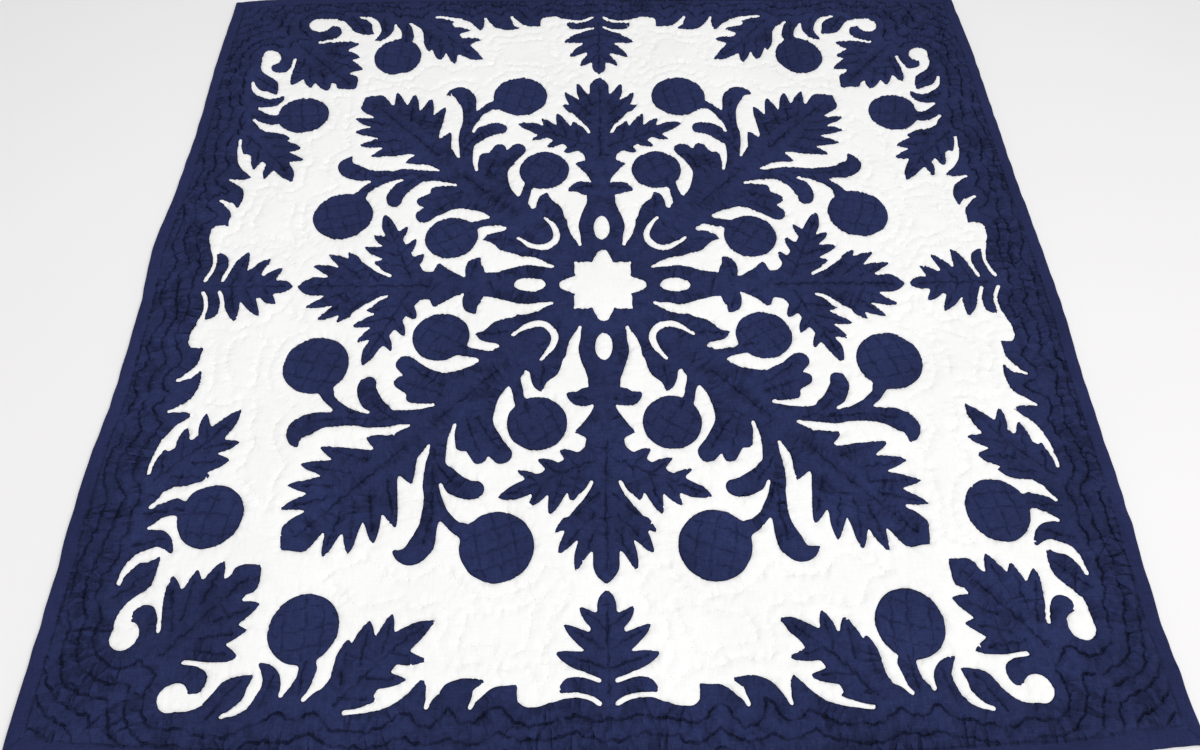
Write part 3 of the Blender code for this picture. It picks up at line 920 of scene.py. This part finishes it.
def add_cotton(material, end, colours, creases, sunk_mm, shade):
    """Plain-woven cotton. Creases are (across, long, depth) in mm and run away from the rows of
    stitches, sunk_mm is the depth of a row, and shade is how far painted shade darkens the colour in
    these and in the small crumples."""
    across_mm, long_mm, depth_mm = creases
    place = add_node(material, "TexCoord"), "Object"
    turn, away, depth = (add_node(material, "Attribute", attribute_name="row_" + what)
                         for what in ("turn", "away", "depth"))
    # some stretches are nearly plain
    creased = remapped(material, noise(material, place, Scale=22.0), 0.25, 0.55)
    # one set of creases for each way that a row can run, each strong where its row is
    total = 0.0
    for k in range(CREASE_WAYS):
        angle = math.pi * k / CREASE_WAYS
        lie = add_node(material, "Mapping", [("Vector", *place)], vector_type="TEXTURE",
                       Rotation=(0, 0, angle), Location=(0.1 * k, 0.03, 0),
                       Scale=(across_mm / 1000, long_mm / 1000, 1))
        grain = noise(material, (lie, "Vector"), Scale=1.0, Detail=1.5, Roughness=0.45,
                      Distortion=0.25)
        off = maths(material, "ABSOLUTE", maths(material, "SUBTRACT", grain, 0.5))
        fold = remapped(material, off, 0.0, CREASE_HALF, 1.0, 0.0, "SMOOTHSTEP")
        fold = maths(material, "MULTIPLY", fold, creased)
        match = add_node(material, "VectorMath", [(0, turn, "Vector")], operation="DOT_PRODUCT",
                         i1=(math.cos(2 * angle), math.sin(2 * angle), 0))
        match = maths(material, "POWER", maths(material, "MAXIMUM", (match, "Value"), 0.0), 3.0)
        total = maths(material, "ADD", total, maths(material, "MULTIPLY", fold, match))
    # the sunk line of the row
    sunk = remapped(material, (away, "Fac"), 0.0, ROW_HALF_MM, 1.0, 0.0, "SMOOTHSTEP")
    sunk = maths(material, "MULTIPLY", sunk, (depth, "Fac"))
    # warp and weft, each a row of fine ribs
    ribs = [(add_node(material, "TexWave", [("Vector", *place)], bands_direction=way,
                      Scale=1000 / WEAVE_MM / WAVE_BANDS, Distortion=1.5, Detail=2.0,
                      Detail_Scale=4.0), "Fac") for way in "XY"]
    # small crumples left by the work, that no iron has been over
    crumpled = noise(material, place, Scale=190.0, Detail=2.5, Roughness=0.55, Distortion=0.8)
    bump = None
    for height, rise_mm, sinks in (
            (maths(material, "MULTIPLY", *ribs), WEAVE_RISE_MM, False), (total, depth_mm, True),
            (sunk, sunk_mm, True), (crumpled, 0.6 * depth_mm, False)):
        links = [("Height", *height)] + ([("Normal", bump, "Normal")] if bump else [])
        bump = add_node(material, "Bump", links, Distance=rise_mm / 1000, invert=sinks)
    # slubs: single thicker threads that run one way or the other, and a soft unevenness
    mixed = noise(material, place, Scale=9.0, Detail=4.0)
    for scale in ((60, 1400, 1), (1400, 60, 1)):
        lie = add_node(material, "Mapping", [("Vector", *place)], Scale=scale)
        mixed = maths(material, "ADD", mixed, noise(material, (lie, "Vector"), Scale=1.0))
    colour = blended(material, remapped(material, mixed, 1.1, 1.9), colours)
    # light hardly reaches into the creases and the sunk rows
    lit = maths(material, "MULTIPLY", remapped(material, total, 0.0, 1.25, 1.0, 1 - shade),
                remapped(material, sunk, 0.0, 1.0, 1.0, 1 - shade))
    # painted shade in the small crumples as well: the colour is darker where the crumple noise is low
    lit = maths(material, "MULTIPLY", lit,
                remapped(material, crumpled, 0.3, 0.6, 1 - 0.4 * shade, 1.0))
    shaded = add_node(material, "VectorMath", [(0, *colour), ("Scale", *lit)], operation="SCALE")
    add_surface(material, end, [("Base Color", shaded, "Vector"), ("Normal", bump, "Normal")],
                Roughness=0.95, Specular_IOR_Level=0.12)


# Bleached cotton sheeting, plain woven. Its threads are about 0.4 mm apart, too fine to show,
# so they are drawn as ribs of 0.9 mm. It is a clean, faintly warm white with no gloss.
white_cotton, white_cotton_end = new_material("bleached_plain_cotton")
add_cotton(white_cotton, white_cotton_end, ("E9E8E6", "F2F1EF"), (10, 28, 0.3), 0.35, 0.02)
white_ground.data.materials.append(white_cotton)
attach(white_ground, "root")
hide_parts("quilt_body")

# ---- The back -----------------------------------------------------------------------------------
# A plain white cotton back. Every row of stitches comes through it and draws it up a little,
# so that it touches what it lies on only between the rows.
BACK_STEP, BACK_DRAWN_UP, BACK_REACH, OVER_BINDING = 6.5, 0.75, 3.2, 1.12
OVER_FROM, OVER_REACH = 19, 3  # where the back starts to rise over the binding
back_loop = edge_line(BODY_INSET, 8)


def inside_back(x, y):
    """True on the back, clear of its rim."""
    return inset_at(x, y) > BODY_INSET + 2


back_x, back_y = hex_places(BACK_STEP)
back_away, _ = nearest(sewn_tree, back_x, back_y)
loose = inside_back(back_x, back_y) & (back_away > 2.2)
on_rows = sewn_points[::2][inside_back(*sewn_points[::2].T)]
points, faces = cloth_faces([back_loop], np.vstack(
    [np.column_stack([back_x[loose], back_y[loose]]), on_rows]))
used, back_faces, _ = tidy_faces(*points.T, faces)
back_x, back_y = points[used].T
back_away, which = nearest(sewn_tree, back_x, back_y)
back_z = BACK_DRAWN_UP * np.exp(-(back_away / BACK_REACH) ** 2)
over = np.clip((OVER_FROM - inset_at(back_x, back_y)) / OVER_REACH, 0, 1)
back_z += (OVER_BINDING - back_z) * over
backing = piece_from("backing_cloth", back_x, back_y, back_z, back_faces[:, ::-1],
                     dict(row_away=back_away, row_turn=turn_at(back_x, back_y),
                          row_depth=sewn_depth[which]))
backing.data.materials.append(white_cotton)
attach(backing, "root")
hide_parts("quilt_body")

# ---- The navy cloth ---------------------------------------------------------------------------
# Dyed cotton, cut in one fold and laid on the white. Its raw edges are turned under and hemmed
# down, which leaves a soft, slightly raised edge. What was cut away parts it into a medallion
# and a border that reaches under the binding.
NAVY_STEP, TURNED_EDGE, TUCKED, TURNED_REACH = 2.35, 0.55, 0.15, 0.8


def lay_navy(name, loops, wanted):
    """Lays one part of the navy cloth over the quilted ground."""
    loose = loose_places(NAVY_STEP, lambda x, y: (cut_at(x, y) < -0.7) & wanted(x, y))
    points, faces = cloth_faces(loops, loose)
    used, faces, area = tidy_faces(*points.T, faces, lambda x, y: (cut_at(x, y) < 0) & wanted(x, y))
    x, y = points[used].T
    z, rows = surface_of(x, y)
    from_edge = np.clip(-cut_at(x, y), 0, None)
    z += (TURNED_EDGE + TUCKED) * (1 - np.exp(-from_edge / TURNED_REACH)) - TUCKED
    piece = piece_from(name, x, y, z, faces, rows)
    piece.data.materials.append(navy_cotton)
    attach(piece, "root")
    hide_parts("quilt_body")


# Navy cotton sheeting, vat dyed and plain woven. The dye sits a little unevenly in the
# threads, so it is a deep blue with a faint heathered grain and a dusty sheen.
navy_cotton, navy_cotton_end = new_material("navy_dyed_cotton")
add_cotton(navy_cotton, navy_cotton_end, ("1F2646", "2E3661"), (12, 32, 2.6), 1.3, 0.55)
lay_navy("navy_medallion", medallion_edges, in_medallion)
lay_navy("navy_border", border_edges + [body_rim], lambda x, y: ~in_medallion(x, y))

# ---- The stitches -----------------------------------------------------------------------------
# Running stitches taken by hand with a single cotton thread, navy over the navy cloth and
# white over the white. Each lies in its own dimple, 3 to 4 mm long.
STITCH_LENGTH, STITCH_SPREAD, THREAD = 3.3, 0.35, 0.24
SHORTEST_LINE, LOOK_AHEAD = 8, 1.5
STITCH_RINGS = ((-1, -0.25, 0), (-0.55, 0.16, 1), (0.55, 0.16, 1), (1, -0.25, 0))  # place, lift, width
dice = np.random.default_rng(12)
places, directions = [], []
for line, closed, depth in sewn:
    if len(line) < SHORTEST_LINE or depth in (OUTLINE_DEPTH, SEAM_DEPTH):
        continue
    length = (len(line) - 1) * LINE_STEP
    marks = np.arange(STITCH_PITCH, length - STITCH_PITCH / 2, STITCH_PITCH)
    steps = np.arange(len(line)) * LINE_STEP
    middle = np.column_stack([np.interp(marks, steps, line[:, c]) for c in (0, 1)])
    ahead = np.column_stack([np.interp(marks + LOOK_AHEAD, steps, line[:, c]) for c in (0, 1)])
    places.append(middle)
    directions.append(ahead - middle)
places, directions = np.vstack(places), np.vstack(directions)
directions /= np.hypot(*directions.T)[:, None] + 1e-9
_, which = nearest(sewn_tree, *places.T)
runs, depths = sewn_run[which], sewn_depth[which]


def sew(name, chosen, raised, material):
    """One mesh of stitches, each a thread that rises out of the cloth and dips back in."""
    at, way = places[chosen], directions[chosen]
    side = np.column_stack([-way[:, 1], way[:, 0]])
    half = (STITCH_LENGTH + STITCH_SPREAD * dice.normal(size=len(at))) / 2
    rings = []
    for share, lift, thick in STITCH_RINGS:
        centre = at + way * (half * share)[:, None]
        z = surface_of(*centre.T, 0 * half, runs[chosen] + half * share, depths[chosen])[0]
        z += raised + lift
        for turn in (0, 90, 180, 270) if thick else (0,):
            out, up = math.cos(math.radians(turn)) * THREAD, math.sin(math.radians(turn)) * THREAD
            shifted = centre + side * out * thick
            rings.append(np.column_stack([shifted, z + up * thick]))
    points = np.stack(rings, 1)
    near = [(0, 1 + (k + 1) % 4, 1 + k) for k in range(4)]
    far = [(9, 5 + k, 5 + (k + 1) % 4) for k in range(4)]
    walls = [f for k in range(4) for f in ((1 + k, 1 + (k + 1) % 4, 5 + k),
                                           (1 + (k + 1) % 4, 5 + (k + 1) % 4, 5 + k))]
    faces = (np.array(near + walls + far)[None] + 10 * np.arange(len(at))[:, None, None]).reshape(-1, 3)
    x, y, z = points.reshape(-1, 3).T
    piece = piece_from(name, x, y, z, faces)
    piece.data.materials.append(material)
    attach(piece, "root")


def add_thread(name, colours):
    """Cotton sewing thread: two plies with a soft gloss, twisted too finely to be seen."""
    material, end = new_material(name)
    place = add_node(material, "TexCoord"), "Object"
    plies = add_node(material, "TexWave", [("Vector", *place)], bands_direction="DIAGONAL",
                     Scale=150.0, Distortion=2.0), "Fac"
    bump = add_node(material, "Bump", [("Height", *plies)], Distance=0.00006)
    add_surface(material, end, [("Base Color", *blended(material, plies, colours)),
                                ("Normal", bump, "Normal")], Roughness=0.7, Specular_IOR_Level=0.25)
    return material


over_navy = cut_at(*places.T) < -1
sew("white_quilting", ~over_navy, 0.0, add_thread("white_cotton_thread", ("E9E8E4", "F7F6F3")))
# The navy thread is darker than the navy cloth: partly its own colour, partly painted shade of the
# dimple it lies in.
sew("navy_quilting", over_navy, TURNED_EDGE, add_thread("navy_cotton_thread", ("171D40", "20274E")))

# ---- The binding -----------------------------------------------------------------------------
# Four straight strips of the navy cloth, each folded over the raw edges of all the layers,
# hemmed down by hand front and back, and mitred where they meet. One has a join in its length.
BINDING_STEP = 4.0
SECTION = (  # inset from the edge, height: under, inside the fold and back over the top
    (15, 0), (15, 0.5), (15, 1), (8, 1), (1.2, 1.02), (1, 1.6), (1, 4.1), (1.4, 4.5), (8, 4.5),
    (15, 4.5), (15.3, 5), (14.8, 5.5), (13.2, 5.8), (10.5, 6.15), (8, 6.3), (5, 6.3), (2.7, 5.95),
    (1.1, 5.3), (0.25, 4.3), (0, 3), (0.12, 1.6), (0.5, 0.5), (1.3, 0.03), (8, 0))
MITRE_GROOVE, MITRE_REACH, MITRE_GAP = 0.45, 1.3, 0.08
JOIN_ALONG, JOIN_GROOVE, JOIN_RIDGE = -0.879, 0.5, 0.35
HEM_PINCH, HEM_PITCH, HEM_INSET = 0.28, 5.0, 14.6
TOP_FROM = 4.4  # the section is on top of the quilt above this height
FIRST_SEED = 40


def bind(side, number):
    """One strip of binding, with its mitred ends. Its number sets how it wavers."""
    facts = SIDES[side]
    length = 2 * (HALF_LENGTH if facts["axis"] == 0 else HALF_WIDTH)
    along = np.linspace(-1, 1, round(length / BINDING_STEP) + 1)
    fine = np.array((1.2, 2.6)) / length * 2
    along = np.union1d(along, np.concatenate([fine - 1, 1 - fine]))
    if side == "right":
        along = np.union1d(along, JOIN_ALONG + np.linspace(-5, 5, 13) / length * 2)
    rings = []
    for inset, height in SECTION:
        outer = math.exp(-(inset / 4) ** 2)
        x, y = edge_point(side, along, inset + 0 * along)
        run = along * length / 2
        shift = 0.4 * outer * waver(run, 0 * run + 50, 22, FIRST_SEED + number)
        z = height + 0 * run
        if height > TOP_FROM:
            z = z + 0.22 * waver(run, 3.0 * inset + 0 * run, 11, FIRST_SEED + number + 7)
            z -= HEM_PINCH * math.exp(-((inset - HEM_INSET) / 1.5) ** 2) * (0.5 + 0.5 * np.cos(
                2 * np.pi * run / HEM_PITCH))
            if side == "right":
                apart = (along - JOIN_ALONG) * length / 2
                z += JOIN_RIDGE * np.exp(-(apart / 3.5) ** 2) - (JOIN_GROOVE + JOIN_RIDGE) * np.exp(
                    -(apart / 0.8) ** 2)
            to_mitre = (1 - np.abs(along)) * length / 2
            z -= MITRE_GROOVE * np.exp(-(to_mitre / MITRE_REACH) ** 2)
        back = MITRE_GAP * np.where(np.abs(along) > 0.9999, np.sign(along), 0)
        if facts["axis"] == 0:
            x, y = x + facts["sign"] * shift, y - back
        else:
            x, y = x - back, y + facts["sign"] * shift
        rings.append(np.column_stack([x, y, z]))
    points = np.stack(rings, 1)
    count, around = points.shape[:2]
    here = np.arange(count - 1)[:, None] * around + np.arange(around)
    onward = np.arange(count - 1)[:, None] * around + (np.arange(around) + 1) % around
    faces = np.vstack([np.stack([here, onward, onward + around], -1).reshape(-1, 3),
                       np.stack([here, onward + around, here + around], -1).reshape(-1, 3)])
    strip = piece_from("binding_cloth_" + side, *points.reshape(-1, 3).T, faces)
    bpy.ops.object.select_all(action="DESELECT")
    bpy.context.view_layer.objects.active = strip
    strip.select_set(True)
    bpy.ops.object.mode_set(mode="EDIT")
    bpy.ops.mesh.select_all(action="DESELECT")
    bpy.ops.mesh.select_mode(type="EDGE")
    bpy.ops.mesh.select_non_manifold()
    bpy.ops.mesh.fill()
    bpy.ops.mesh.select_all(action="SELECT")
    bpy.ops.mesh.normals_make_consistent(inside=False)
    bpy.ops.object.mode_set(mode="OBJECT")
    strip.data.shade_smooth()
    strip.data.materials.append(navy_binding)
    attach(strip, "root")
    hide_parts("binding_" + side)


# The same navy cotton, pulled straight and pressed, so it has fewer creases.
navy_binding, navy_binding_end = new_material("navy_binding_cotton")
add_cotton(navy_binding, navy_binding_end, ("1D2343", "2A3058"), (10, 30, 0.8), 0.3, 0.3)
for number, side in enumerate(SIDES):
    bind(side, number)
